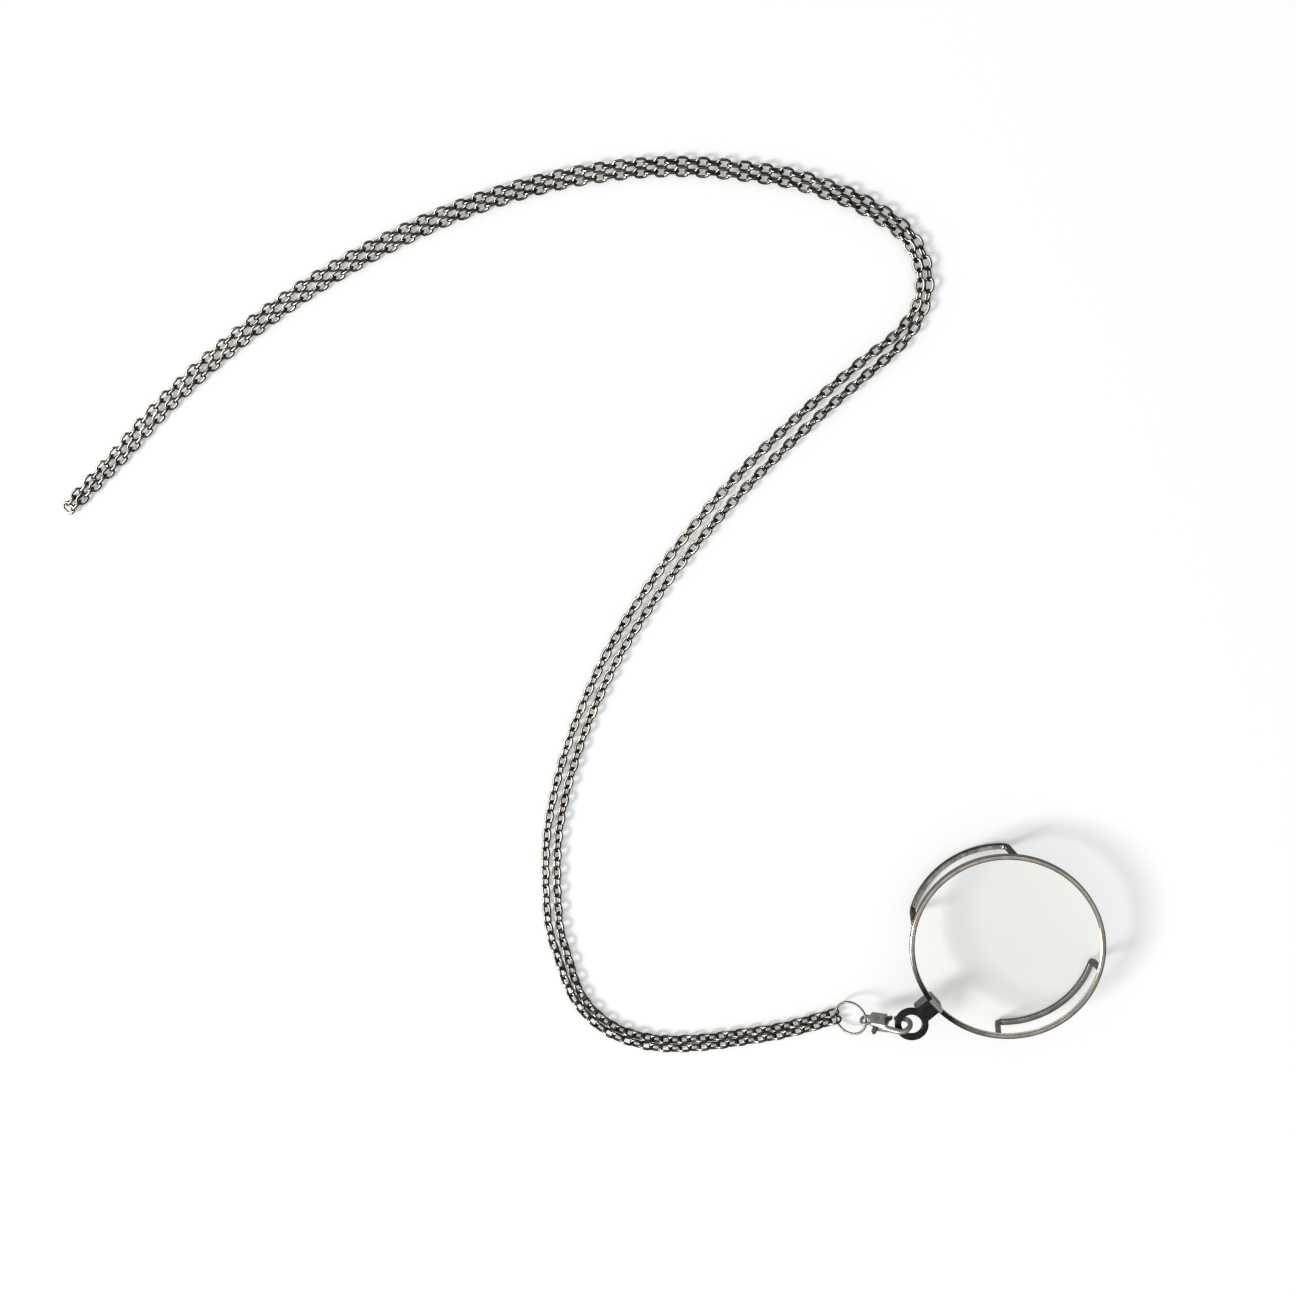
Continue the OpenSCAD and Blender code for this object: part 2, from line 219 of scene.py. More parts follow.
def mixColour(tree, x, y, factor, first, second):
    # The first and second colour are each a tuple or the socket that gives it
    mix = addNode(tree, "ShaderNodeMix", x, y, data_type="RGBA")
    tree.links.new(factor, mix.inputs["Factor"])
    for socket, value in ((mix.inputs[6], first), (mix.inputs[7], second)):
        if isinstance(value, tuple):
            socket.default_value = (*value, 1)
        else:
            tree.links.new(value, socket)
    return mix.outputs[2]


def newMaterial(name):
    material = bpy.data.materials.new(name)
    material.use_nodes = True
    tree = material.node_tree
    return material, tree, tree.nodes["Principled BSDF"]


def addHangerDarkAndHighlight(tree, s, colour):
    # Darker round the hanger, and a painted highlight over the closing block: a light strip
    # across the rim that stands in for light caught by the block's bevel
    place = addNode(tree, "ShaderNodeTexCoord", -1300, 700)
    away = addNode(tree, "ShaderNodeVectorMath", -1100, 700, operation="DISTANCE")
    away.inputs[1].default_value = [v * mm for v in s["darkNearHangerCentre"]]
    darkNearHanger = addNode(tree, "ShaderNodeMapRange", -900, 700)
    darkNearHanger.inputs["From Min"].default_value = s["darkNearHangerReach"][1] * mm
    darkNearHanger.inputs["From Max"].default_value = s["darkNearHangerReach"][0] * mm
    tree.links.new(place.outputs["Object"], away.inputs[0])
    tree.links.new(away.outputs["Value"], darkNearHanger.inputs["Value"])
    darkenedNearHanger = mixColour(tree, -200, 500, darkNearHanger.outputs["Result"], colour, s["darkNearHanger"])
    parts = addNode(tree, "ShaderNodeSeparateXYZ", -1100, 950)
    side = addNode(tree, "ShaderNodeMath", -900, 950, operation="ABSOLUTE")
    within = addNode(tree, "ShaderNodeMath", -700, 950, operation="LESS_THAN")
    within.inputs[1].default_value = s["paintedHighlightHalfWidth"] * mm
    near = addNode(tree, "ShaderNodeMath", -700, 1100, operation="LESS_THAN")
    near.inputs[1].default_value = s["paintedHighlightUpTo"] * mm
    both = addNode(tree, "ShaderNodeMath", -500, 950, operation="MULTIPLY")
    tree.links.new(place.outputs["Object"], parts.inputs[0])
    tree.links.new(parts.outputs["Y"], side.inputs[0])
    tree.links.new(side.outputs[0], within.inputs[0])
    tree.links.new(parts.outputs["X"], near.inputs[0])
    tree.links.new(within.outputs[0], both.inputs[0])
    tree.links.new(near.outputs[0], both.inputs[1])
    return mixColour(tree, 0, 500, both.outputs[0], darkenedNearHanger, s["paintedHighlight"])


def makeMetal(name, s):
    material, tree, shader = newMaterial(name)
    shader.inputs["Metallic"].default_value = s.get("metallic", 1)
    tarnish = useGroup(
        tree, tarnishGroup, -900, 200, Scale=s["patchScale"], Spread=s["patchSpread"],
    )
    colour = mixColour(tree, -600, 200, tarnish.outputs["Mask"], s["colour"], s["dulled"])
    if s.get("edge"):
        edges = useGroup(
            tree, edgeGroup, -900, 0, Width=s["edgeWidth"] * mm, Breakup=s["edgeBreakup"],
        )
        colour = mixColour(tree, -400, 200, edges.outputs["Mask"], colour, s["edge"])
    # Rim only: darker near the hanger, and a painted highlight strip over the closing block
    if s.get("darkNearHanger"):
        colour = addHangerDarkAndHighlight(tree, s, colour)
    if s.get("toneName"):
        tone = addNode(tree, "ShaderNodeAttribute", -900, 420, attribute_name=s["toneName"])
        colour = mixColour(tree, -200, 300, tone.outputs["Fac"], colour, s["toneColour"])
    tree.links.new(colour, shader.inputs["Base Color"])
    rough = addNode(tree, "ShaderNodeMapRange", -600, -50)
    rough.inputs["To Min"].default_value = s["roughness"][0]
    rough.inputs["To Max"].default_value = s["roughness"][1]
    tree.links.new(tarnish.outputs["Mask"], rough.inputs["Value"])
    tree.links.new(rough.outputs["Result"], shader.inputs["Roughness"])
    scratches = useGroup(
        tree, scratchGroup, -900, -300, Scale=s["scratchScale"], Direction=s["scratchTurn"],
    )
    bump = addNode(tree, "ShaderNodeBump", -300, -300)
    bump.inputs["Strength"].default_value = s["scratchStrength"]
    bump.inputs["Distance"].default_value = s["scratchDepth"] * mm
    tree.links.new(scratches.outputs["Height"], bump.inputs["Height"])
    tree.links.new(bump.outputs["Normal"], shader.inputs["Normal"])
    return material


# The rim is darker near the hanger, and its light strip over the closing block is a painted
# highlight
rimFinish = {
    "colour": (0.90, 0.82, 0.71), "dulled": (0.66, 0.59, 0.51), "roughness": (0.2, 0.32),
    "darkNearHanger": (0.05, 0.046, 0.042), "darkNearHangerCentre": (-14.8, 0, 8), "darkNearHangerReach": (4.0, 15.0),
    "paintedHighlight": (0.72, 0.72, 0.68), "paintedHighlightHalfWidth": 1.75, "paintedHighlightUpTo": -12.0,
    "patchScale": 420.0, "patchSpread": 0.7, "edge": (0.62, 0.56, 0.50), "edgeWidth": 0.12,
    "edgeBreakup": 900.0, "scratchScale": 2600.0, "scratchTurn": 0.4, "scratchStrength": 0.12,
    "scratchDepth": 0.004,
}
galleryFinish = {
    "colour": (0.36, 0.345, 0.31), "dulled": (0.2, 0.19, 0.175), "roughness": (0.22, 0.38),
    "patchScale": 520.0, "patchSpread": 0.8, "edge": (0.48, 0.45, 0.41), "edgeWidth": 0.1,
    "edgeBreakup": 1100.0, "scratchScale": 2800.0, "scratchTurn": 1.1, "scratchStrength": 0.25,
    "scratchDepth": 0.006,
}
hangerFinish = {
    "colour": (0.075, 0.074, 0.068), "dulled": (0.045, 0.045, 0.042), "roughness": (0.32, 0.48),
    "patchScale": 600.0, "patchSpread": 0.8, "edge": (0.26, 0.25, 0.23), "edgeWidth": 0.09,
    "edgeBreakup": 1300.0, "scratchScale": 3000.0, "scratchTurn": 0.2, "scratchStrength": 0.3,
    "scratchDepth": 0.006,
}
# Closing block: the hanger's dark plating given a light colour, a painted reflection of the floor
# on its side wall
blockPaintedReflectionFinish = dict(
    hangerFinish, colour=(0.46, 0.465, 0.435), dulled=(0.36, 0.36, 0.335), roughness=(0.45, 0.58),
    metallic=0.72,
)
claspFinish = {
    "colour": (0.62, 0.63, 0.565), "dulled": (0.46, 0.46, 0.425), "roughness": (0.3, 0.44),
    "metallic": 0.68,
    "patchScale": 700.0, "patchSpread": 0.7, "edge": (0.78, 0.76, 0.71), "edgeWidth": 0.12,
    "edgeBreakup": 1200.0, "scratchScale": 3200.0, "scratchTurn": 0.9, "scratchStrength": 0.3,
    "scratchDepth": 0.006,
}
leverFinish = dict(
    claspFinish, colour=(0.3, 0.3, 0.275), dulled=(0.16, 0.16, 0.15), scratchTurn=0.3,
)
rivetFinish = dict(
    claspFinish, colour=(0.42, 0.41, 0.38), dulled=(0.28, 0.27, 0.25), scratchTurn=1.9,
)
springFinish = dict(
    claspFinish, colour=(0.5, 0.49, 0.46), dulled=(0.36, 0.35, 0.33), scratchTurn=2.4,
)
ringFinish = {
    "colour": (0.40, 0.355, 0.31), "dulled": (0.22, 0.195, 0.17), "roughness": (0.24, 0.38),
    "patchScale": 650.0, "patchSpread": 0.8, "scratchScale": 3000.0, "scratchTurn": 0.7,
    "scratchStrength": 0.2, "scratchDepth": 0.005,
}
chainFinish = {
    "colour": (0.21, 0.195, 0.175), "dulled": (0.105, 0.097, 0.087), "roughness": (0.14, 0.26),
    "patchScale": 480.0, "patchSpread": 0.8,
    "toneName": "linkTone", "toneColour": (0.34, 0.305, 0.265),
    "scratchScale": 3400.0, "scratchTurn": 0.5, "scratchStrength": 0.2, "scratchDepth": 0.005,
}
rimMetal = makeMetal("rimMetal", rimFinish)
galleryMetal = makeMetal("galleryMetal", galleryFinish)
hangerMetal = makeMetal("hangerMetal", hangerFinish)
blockPaintedReflectionMetal = makeMetal("blockPaintedReflectionMetal", blockPaintedReflectionFinish)
claspMetal = makeMetal("claspMetal", claspFinish)
leverMetal = makeMetal("leverMetal", leverFinish)
rivetMetal = makeMetal("rivetMetal", rivetFinish)
springMetal = makeMetal("springMetal", springFinish)
ringMetal = makeMetal("ringMetal", ringFinish)
chainMetal = makeMetal("chainMetal", chainFinish)

# The wave values are the faint waves left by polishing
lensFinish = {
    "colour": (0.99, 0.992, 0.958), "ior": 1.52, "shadow": (0.82, 0.83, 0.835),
    "waveScale": 60.0, "waveTurn": 0.8, "waveStrength": 0.05, "waveDepth": 0.01,
}


def makeGlass(s):
    material, tree, shader = newMaterial("lensGlass")
    shader.inputs["Base Color"].default_value = (*s["colour"], 1)
    shader.inputs["IOR"].default_value = s["ior"]
    shader.inputs["Transmission Weight"].default_value = 1
    shader.inputs["Roughness"].default_value = 0
    waves = useGroup(
        tree, scratchGroup, -700, -300, Scale=s["waveScale"], Direction=s["waveTurn"],
    )
    bump = addNode(tree, "ShaderNodeBump", -300, -300)
    bump.inputs["Strength"].default_value = s["waveStrength"]
    bump.inputs["Distance"].default_value = s["waveDepth"] * mm
    tree.links.new(waves.outputs["Height"], bump.inputs["Height"])
    tree.links.new(bump.outputs["Normal"], shader.inputs["Normal"])
    # Light on its way to the floor goes straight through, a little dimmed
    rays = addNode(tree, "ShaderNodeLightPath", 0, 400)
    clear = addNode(tree, "ShaderNodeBsdfTransparent", 0, -300)
    clear.inputs["Color"].default_value = (*s["shadow"], 1)
    mix = addNode(tree, "ShaderNodeMixShader", 400, 100)
    output = tree.nodes["Material Output"]
    output.location = (650, 100)
    either = addNode(tree, "ShaderNodeMath", 200, 400, operation="MAXIMUM")
    tree.links.new(rays.outputs["Is Shadow Ray"], either.inputs[0])
    tree.links.new(rays.outputs["Is Diffuse Ray"], either.inputs[1])
    tree.links.new(either.outputs[0], mix.inputs["Fac"])
    tree.links.new(shader.outputs[0], mix.inputs[1])
    tree.links.new(clear.outputs[0], mix.inputs[2])
    tree.links.new(mix.outputs[0], output.inputs["Surface"])
    return material


lensGlass = makeGlass(lensFinish)
print("materials made")


# Mesh helpers
def finishPiece(bm, name, body, material, replaced, sharp=sharpAngle):
    bmesh.ops.remove_doubles(bm, verts=bm.verts, dist=mergeDistance * mm)
    bmesh.ops.recalc_face_normals(bm, faces=bm.faces)
    mesh = bpy.data.meshes.new(name)
    bm.to_mesh(mesh)
    bm.free()
    mesh.polygons.foreach_set("use_smooth", [True] * len(mesh.polygons))
    mesh.set_sharp_from_angle(angle=math.radians(sharp))
    mesh.materials.append(material)
    piece = bpy.data.objects.new(name, mesh)
    bpy.context.scene.collection.objects.link(piece)
    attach(piece, body)
    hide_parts(*replaced)


def turnMatrix(degrees, axis):
    return Matrix.Rotation(math.radians(degrees), 3, axis)


def roundedSection(bm, width, height, radius, segments):
    # Outline of a rounded bar's section round the origin, width along X and height along Z
    bmesh.ops.create_grid(bm, x_segments=1, y_segments=1, size=0.5)
    bmesh.ops.scale(bm, verts=bm.verts, vec=(width, height, 1))
    bmesh.ops.rotate(bm, verts=bm.verts, cent=(0, 0, 0), matrix=turnMatrix(90, "X"))
    bmesh.ops.bevel(
        bm, geom=list(bm.verts), offset=radius, offset_type="OFFSET", segments=segments,
        profile=0.5, affect="VERTICES", material=-1,
    )
    bmesh.ops.delete(bm, geom=list(bm.faces), context="FACES_ONLY")


def onlyEdges(items):
    return [item for item in items if isinstance(item, bmesh.types.BMEdge)]


def onlyVerts(items):
    return [item for item in items if isinstance(item, bmesh.types.BMVert)]


# Rim: one profile with the lens's groove on its inside, spun round the lens
rimSize = {
    "middle": (4.825, 0, 8.05), "radius": 19.475, "wall": 1.05, "height": 1.5, "round": 0.3,
    "roundSteps": 4, "groove": 0.45, "steps": 200,
}


def makeRim(s):
    bm = bmesh.new()
    roundedSection(bm, s["wall"], s["height"], s["round"], s["roundSteps"])
    # The middle of the inner wall is drawn out into the groove
    inner = min(bm.edges, key=lambda e: sum(v.co.x for v in e.verts) - e.calc_length())
    made = bmesh.ops.subdivide_edges(bm, edges=[inner], cuts=3)
    middle = min(onlyVerts(made["geom_inner"]), key=lambda v: abs(v.co.z))
    bmesh.ops.translate(bm, verts=[middle], vec=(s["groove"], 0, 0))
    bmesh.ops.translate(bm, verts=bm.verts, vec=(s["radius"], 0, 0))
    bmesh.ops.spin(
        bm, geom=list(bm.verts) + list(bm.edges), cent=(0, 0, 0), axis=(0, 0, 1),
        angle=2 * math.pi, steps=s["steps"], use_merge=True,
    )
    bmesh.ops.translate(bm, verts=bm.verts, vec=s["middle"])
    bmesh.ops.scale(bm, verts=bm.verts, vec=(mm, mm, mm))
    finishPiece(bm, "rimRing", "monocle", rimMetal, ["rim"])


makeRim(rimSize)

# Galleries: a rounded wire along the rim with both ends bent up to its back
gallerySize = {
    "middleX": 4.825, "radius": 19.475, "width": 1.15, "height": 1.15, "round": 0.3,
    "roundSteps": 4, "span": 70.0, "turn": -5.6, "bend": 0.6, "lean": 6.0, "depth": 7.3,
    "barSteps": 56, "bendSteps": 8,
}


def makeGallery(name, node, middle, s):
    bm = bmesh.new()
    roundedSection(bm, s["width"], s["height"], s["round"], s["roundSteps"])
    bmesh.ops.translate(bm, verts=bm.verts, vec=(s["radius"], 0, s["height"] / 2))
    bmesh.ops.rotate(bm, verts=bm.verts, cent=(0, 0, 0), matrix=turnMatrix(-s["span"] / 2, "Z"))
    first = list(bm.edges)
    bar = bmesh.ops.spin(
        bm, geom=list(first), cent=(0, 0, 0), axis=(0, 0, 1), angle=math.radians(s["span"]),
        steps=s["barSteps"],
    )
    bendHeight = s["bend"] + s["height"]
    lean = math.radians(s["lean"])
    for end, ring in ((-1, first), (1, onlyEdges(bar["geom_last"]))):
        angle = math.radians(end * s["span"] / 2)
        outward = Vector((math.cos(angle), math.sin(angle), 0))
        along = end * Vector((-math.sin(angle), math.cos(angle), 0))
        bend = bmesh.ops.spin(
            bm, geom=ring, cent=outward * s["radius"] + Vector((0, 0, bendHeight)),
            axis=outward * end, angle=math.pi / 2 - lean, steps=s["bendSteps"],
        )
        drawn = bmesh.ops.extrude_edge_only(bm, edges=onlyEdges(bend["geom_last"]))["geom"]
        way = Vector((0, 0, math.cos(lean))) + along * math.sin(lean)
        bmesh.ops.translate(bm, verts=onlyVerts(drawn), vec=way * s["depth"])
    bmesh.ops.bisect_plane(
        bm, geom=list(bm.verts) + list(bm.edges) + list(bm.faces), plane_co=(0, 0, s["depth"]),
        plane_no=(0, 0, 1), clear_outer=True,
    )
    bmesh.ops.holes_fill(bm, edges=[e for e in bm.edges if e.is_boundary], sides=0)
    bmesh.ops.rotate(
        bm, verts=bm.verts, cent=(0, 0, 0), matrix=turnMatrix(middle + s["turn"], "Z"),
    )
    bmesh.ops.translate(bm, verts=bm.verts, vec=(s["middleX"], 0, 0))
    bmesh.ops.scale(bm, verts=bm.verts, vec=(mm, mm, mm))
    finishPiece(bm, name, "monocle", galleryMetal, [node])


makeGallery("upperGalleryWire", "upper_gallery", 90, gallerySize)
makeGallery("lowerGalleryWire", "lower_gallery", 270, gallerySize)

# Lens: an arc spun about its curve's centre and then about the lens axis, ground to a bevel
lensSize = {
    "middle": (4.825, 0, 8.05), "radius": 19.37, "bevel": 0.42, "thickness": 1.3, "curve": 400.0,
    "arcSteps": 12, "steps": 160, "sharpAngle": 12,
}


def makeLens(s):
    bm = bmesh.new()
    faceRadius = s["radius"] - s["bevel"]
    sag = s["curve"] - math.sqrt(s["curve"] ** 2 - s["radius"] ** 2)
    rims = []
    for side in (1, -1):
        top = side * s["thickness"] / 2 + sag
        start = bmesh.ops.create_vert(bm, co=(0, 0, top))["vert"]
        arc = bmesh.ops.spin(
            bm, geom=start, cent=(0, 0, top - s["curve"]), axis=(0, 1, 0),
            angle=math.asin(faceRadius / s["curve"]), steps=s["arcSteps"],
        )
        rims.append(onlyVerts(arc["geom_last"])[0])
    # The two slopes of the bevel meet in the groove's middle
    tip = bmesh.ops.create_vert(bm, co=(s["radius"], 0, 0))["vert"][0]
    for rim in rims:
        bm.edges.new((rim, tip))
    bmesh.ops.spin(
        bm, geom=list(bm.verts) + list(bm.edges), cent=(0, 0, 0), axis=(0, 0, 1),
        angle=2 * math.pi, steps=s["steps"], use_merge=True,
    )
    bmesh.ops.translate(bm, verts=bm.verts, vec=s["middle"])
    bmesh.ops.scale(bm, verts=bm.verts, vec=(mm, mm, mm))
    finishPiece(
        bm, "lensGlassPiece", "monocle", lensGlass, ["lens"], sharp=s["sharpAngle"],
    )


makeLens(lensSize)

# Jump ring: a wire ring sawn open, leaning on the clasp's tail
ringSize = {
    "middle": (-31.372, 7.4714, 2.5845), "radius": 3.6, "wire": 0.5, "slit": 0.08,
    "lean": -27.0, "yaw": -36.5, "open": -100.0, "steps": 110, "sides": 14,
}


def makeJumpRing(s):
    bm = bmesh.new()
    bmesh.ops.create_circle(bm, segments=s["sides"], radius=s["wire"] / 2, cap_ends=False)
    bmesh.ops.rotate(bm, verts=bm.verts, cent=(0, 0, 0), matrix=turnMatrix(90, "X"))
    bmesh.ops.translate(bm, verts=bm.verts, vec=(s["radius"], 0, 0))
    turn = 2 * math.pi - s["slit"] / s["radius"]
    bmesh.ops.spin(
        bm, geom=list(bm.edges), cent=(0, 0, 0), axis=(0, 0, 1), angle=turn, steps=s["steps"],
    )
    bmesh.ops.holes_fill(bm, edges=[e for e in bm.edges if e.is_boundary], sides=0)
    for degrees, axis in ((s["open"], "Z"), (s["lean"], "Y"), (s["yaw"], "Z")):
        bmesh.ops.rotate(bm, verts=bm.verts, cent=(0, 0, 0), matrix=turnMatrix(degrees, axis))
    bmesh.ops.translate(bm, verts=bm.verts, vec=s["middle"])
    bmesh.ops.scale(bm, verts=bm.verts, vec=(mm, mm, mm))
    finishPiece(bm, "jumpRing", "ring", ringMetal, ["jump_ring"])


makeJumpRing(ringSize)


# Cast and stamped pieces: a merged copy of the solid with its sharp edges eased
hangerSize = {"ease": 0.08, "steps": 2}
blockSize = {"ease": 0.1, "steps": 2}
claspSize = {"ease": 0.05, "steps": 2}
leverSize = {"ease": 0.06, "steps": 2}
rivetSize = {"ease": 0.07, "steps": 3}
solidMerge = 0.0005   # points of the solid's mesh closer than this are one
flatAngle = 0.5       # faces that meet at fewer degrees than this become one


def makeEased(node, name, body, material, s):
    bm = bmesh.new()
    bm.from_mesh(nodes[node].data)
    bmesh.ops.remove_doubles(bm, verts=bm.verts, dist=solidMerge * mm)
    bmesh.ops.dissolve_limit(
        bm, angle_limit=math.radians(flatAngle), verts=list(bm.verts), edges=list(bm.edges),
    )
    limit = math.radians(sharpAngle)
    sharp = [e for e in bm.edges if e.is_manifold and e.calc_face_angle() > limit]
    bmesh.ops.bevel(
        bm, geom=sharp, offset=s["ease"] * mm, offset_type="OFFSET", segments=s["steps"],
        profile=0.5, affect="EDGES", material=-1, clamp_overlap=True,
    )
    finishPiece(bm, name, body, material, [node])


makeEased("hanger", "hangerPlate", "monocle", hangerMetal, hangerSize)
makeEased("closing_block", "closingBlock", "monocle", blockPaintedReflectionMetal, blockSize)
makeEased("clasp_body", "claspBody", "clasp", claspMetal, claspSize)
makeEased("clasp_lever", "claspLever", "lever", leverMetal, leverSize)
makeEased("clasp_rivet", "claspRivet", "clasp", rivetMetal, rivetSize)
print("monocle, clasp and ring made")

# Chain: the same route and places of the links as in the part's source
chainSize = {
    "linkLength": 3.22, "linkWidth": 2.3, "wire": 0.57, "endWire": 0.46, "pitch": 2.09,
    "cross": 45.0, "lean": 18.0, "linksPerStrand": 217, "firstLink": 0.45, "foldStep": 1.6,
    "routeSteps": 8, "start": (-33.9505, 9.3794), "exitHeight": 0.95, "bowSteps": 5,
    "wireSides": 8, "wobble": 2.0, "toneBias": 2,
}
chainRoute = [
    (0, 0), (-10, 4.5), (-18.5, 9.5), (-27, 15), (-34.5, 21.5), (-39.5, 30), (-40, 39.5),
    (-36, 49), (-31, 57.5), (-17.5, 71.5), (-0.5, 82.5), (18, 90.5), (37, 95.5), (57, 98.5),
    (77, 99.5), (96, 99), (105.5, 98.5), (113, 100.5), (118, 105.5), (120, 113),
    (118, 122), (115, 129), (109, 139), (96, 154), (80.5, 166.5), (63, 176.5),
    (44.5, 184), (25.5, 189.5), (6, 193), (-14, 194.5), (-34, 194), (-60, 194),
]
# Run along the route and distance between the two strands there
strandSpread = [
    (0, 1.7), (30, 1.95), (60, 1.9), (80, 2.5), (140, 2.6), (190, 3.0), (222, 2.7),
    (236, 1.75), (255, 1.75), (270, 1.85), (330, 1.9), (380, 2.2), (435, 2.0), (450, 1.5),
]


def smoothRoute(points, steps):
    # A Catmull-Rom curve through the points
    last = len(points) - 1
    fine = []
    for i in range(last):
        a, b = Vector(points[max(i - 1, 0)]), Vector(points[i])
        c, d = Vector(points[i + 1]), Vector(points[min(i + 2, last)])
        for k in range(steps):
            t = k / steps
            fine.append(
                b + t * (c - a) / 2 + t * t * (a - 2.5 * b + 2 * c - d / 2)
                + t ** 3 * (-a + 3 * b - 3 * c + d) / 2
            )
    return fine + [Vector(points[last])]


def lookup(run, keys, values):
    if run <= keys[0]:
        return values[0]
    for k in range(1, len(keys)):
        if run <= keys[k]:
            t = (run - keys[k - 1]) / (keys[k] - keys[k - 1])
            return values[k - 1] + t * (values[k] - values[k - 1])
    return values[-1]


fineRoute = smoothRoute(chainRoute, chainSize["routeSteps"])
runs = [0.0]
for first, second in zip(fineRoute, fineRoute[1:]):
    runs.append(runs[-1] + (second - first).length)


def routeAt(run):
    return lookup(run, runs, fineRoute)


def routeWay(run):
    d = routeAt(run + chainSize["pitch"]) - routeAt(run - chainSize["pitch"])
    return math.atan2(d.y, d.x)


def beside(run, side):
    way = routeWay(run)
    spread = lookup(run, [k for k, v in strandSpread], [v for k, v in strandSpread])
    return routeAt(run) + side * spread / 2 * Vector((-math.sin(way), math.cos(way)))


def makeLink(s, wire):
    # One link about the origin, long way along X: a bow, two legs and the other bow
    bow = (s["linkWidth"] - wire) / 2
    leg = (s["linkLength"] - s["linkWidth"]) / 2
    bm = bmesh.new()
    made = bmesh.ops.create_circle(bm, segments=s["wireSides"], radius=wire / 2)
    bmesh.ops.rotate(bm, verts=made["verts"], cent=(0, 0, 0), matrix=turnMatrix(90, "Y"))
    bmesh.ops.translate(bm, verts=made["verts"], vec=(leg, -bow, 0))
    ends = list(bm.edges)
    for side in (1, -1):
        bent = bmesh.ops.spin(
            bm, geom=ends, cent=(side * leg, 0, 0), axis=(0, 0, 1), angle=math.pi,
            steps=s["bowSteps"],
        )
        drawn = bmesh.ops.extrude_edge_only(bm, edges=onlyEdges(bent["geom_last"]))["geom"]
        moved = onlyVerts(drawn)
        bmesh.ops.translate(bm, verts=moved, vec=(-side * 2 * leg, 0, 0))
        ends = [e for e in onlyEdges(drawn) if all(v in moved for v in e.verts)]
    bmesh.ops.remove_doubles(bm, verts=bm.verts, dist=mergeDistance)
    bmesh.ops.recalc_face_normals(bm, faces=bm.faces)
    bmesh.ops.scale(bm, verts=bm.verts, vec=(mm, mm, mm))
    mesh = bpy.data.meshes.new("oneLink")
    bm.to_mesh(mesh)
    bm.free()
    return mesh


def makeChain(s):
    # The links that lean most stand on the ground
    steepest = math.radians(s["cross"] + s["lean"])
    height = (s["linkWidth"] - s["wire"]) / 2 * math.sin(steepest) + s["wire"] / 2
    start = Vector(s["start"])
    places = []
    for side in (1, -1):
        strand = []
        for i in range(s["linksPerStrand"]):
            run = s["firstLink"] + i * s["pitch"]
            d = beside(run + s["pitch"], side) - beside(run - s["pitch"], side)
            roll = s["lean"] + (s["cross"] if i % 2 == 0 else -s["cross"])
            strand.append((start + beside(run, side), math.atan2(d.y, d.x), math.radians(roll)))
        places.append(strand)
    foldRun = s["firstLink"] + (s["linksPerStrand"] - 1) * s["pitch"] + s["foldStep"]
    fold = (start + routeAt(foldRun), routeWay(foldRun - s["pitch"]) + math.pi / 2, 0.0)
    allPlaces = places[0] + [fold] + places[1][::-1]
    # The two links on the jump ring have thinner wire, so that they swing clear of it
    oneLink, endLink = makeLink(s, s["wire"]), makeLink(s, s["endWire"])
    bm = bmesh.new()
    tones = []
    for k, (place, way, roll) in enumerate(allPlaces):
        mesh = (endLink if k in (0, len(allPlaces) - 1) else oneLink).copy()
        roll += math.radians(random.uniform(-s["wobble"], s["wobble"]))
        mesh.transform(
            Matrix.Translation((place.x * mm, place.y * mm, height * mm))
            @ Matrix.Rotation(way, 4, "Z") @ Matrix.Rotation(roll, 4, "X")
        )
        bm.from_mesh(mesh)
        tones += [random.random() ** s["toneBias"]] * len(mesh.vertices)
        bpy.data.meshes.remove(mesh)
    tone = bm.verts.layers.float.new("linkTone")
    for vert, value in zip(bm.verts, tones):
        vert[tone] = value
    mesh = bpy.data.meshes.new("chain")
    bm.to_mesh(mesh)
    bm.free()
    mesh.polygons.foreach_set("use_smooth", [True] * len(mesh.polygons))
    mesh.materials.append(chainMetal)
    chain = bpy.data.objects.new("chain", mesh)
    bpy.context.scene.collection.objects.link(chain)
    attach(chain, "chain")
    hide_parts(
        *[n for n in nodes if "strand" in n or n.endswith("bend") or n == "chain_fold"],
    )
    return chain


chain = makeChain(chainSize)
print("chain laid")

# The spring keeps its CAD shape
springSlots = nodes["clasp_spring"].data.materials
springSlots.clear()
springSlots.append(springMetal)

# Floor, world and lamps
stageSettings = {
    "floorSize": 3.0, "paper": (0.8, 0.8, 0.785), "paperRoughness": 0.9,
    "paperInMetal": (0.2, 0.195, 0.185),
    "glow": 0.24, "glowThroughLens": 0.31, "glowColour": (1, 1, 0.985),
    "ambient": 0.58, "ambientColour": (0.955, 0.985, 1.04),
    "reflected": (
        (0.0, 0.02), (0.3, 0.025), (0.74, 0.07), (0.88, 0.34), (0.94, 0.44), (1.0, 0.48),
    ),
    "aim": (20.0, 80.0, 0.0), "lampColour": (1.0, 0.985, 0.95),
}
keyLampSettings = {"from": (-0.764, 0.234, 0.601), "distance": 2.2, "size": 0.72, "power": 34.5}
glintLampSettings = {"from": (-0.5, 0.55, 0.67), "distance": 1.6, "size": 1.4, "power": 60.0}


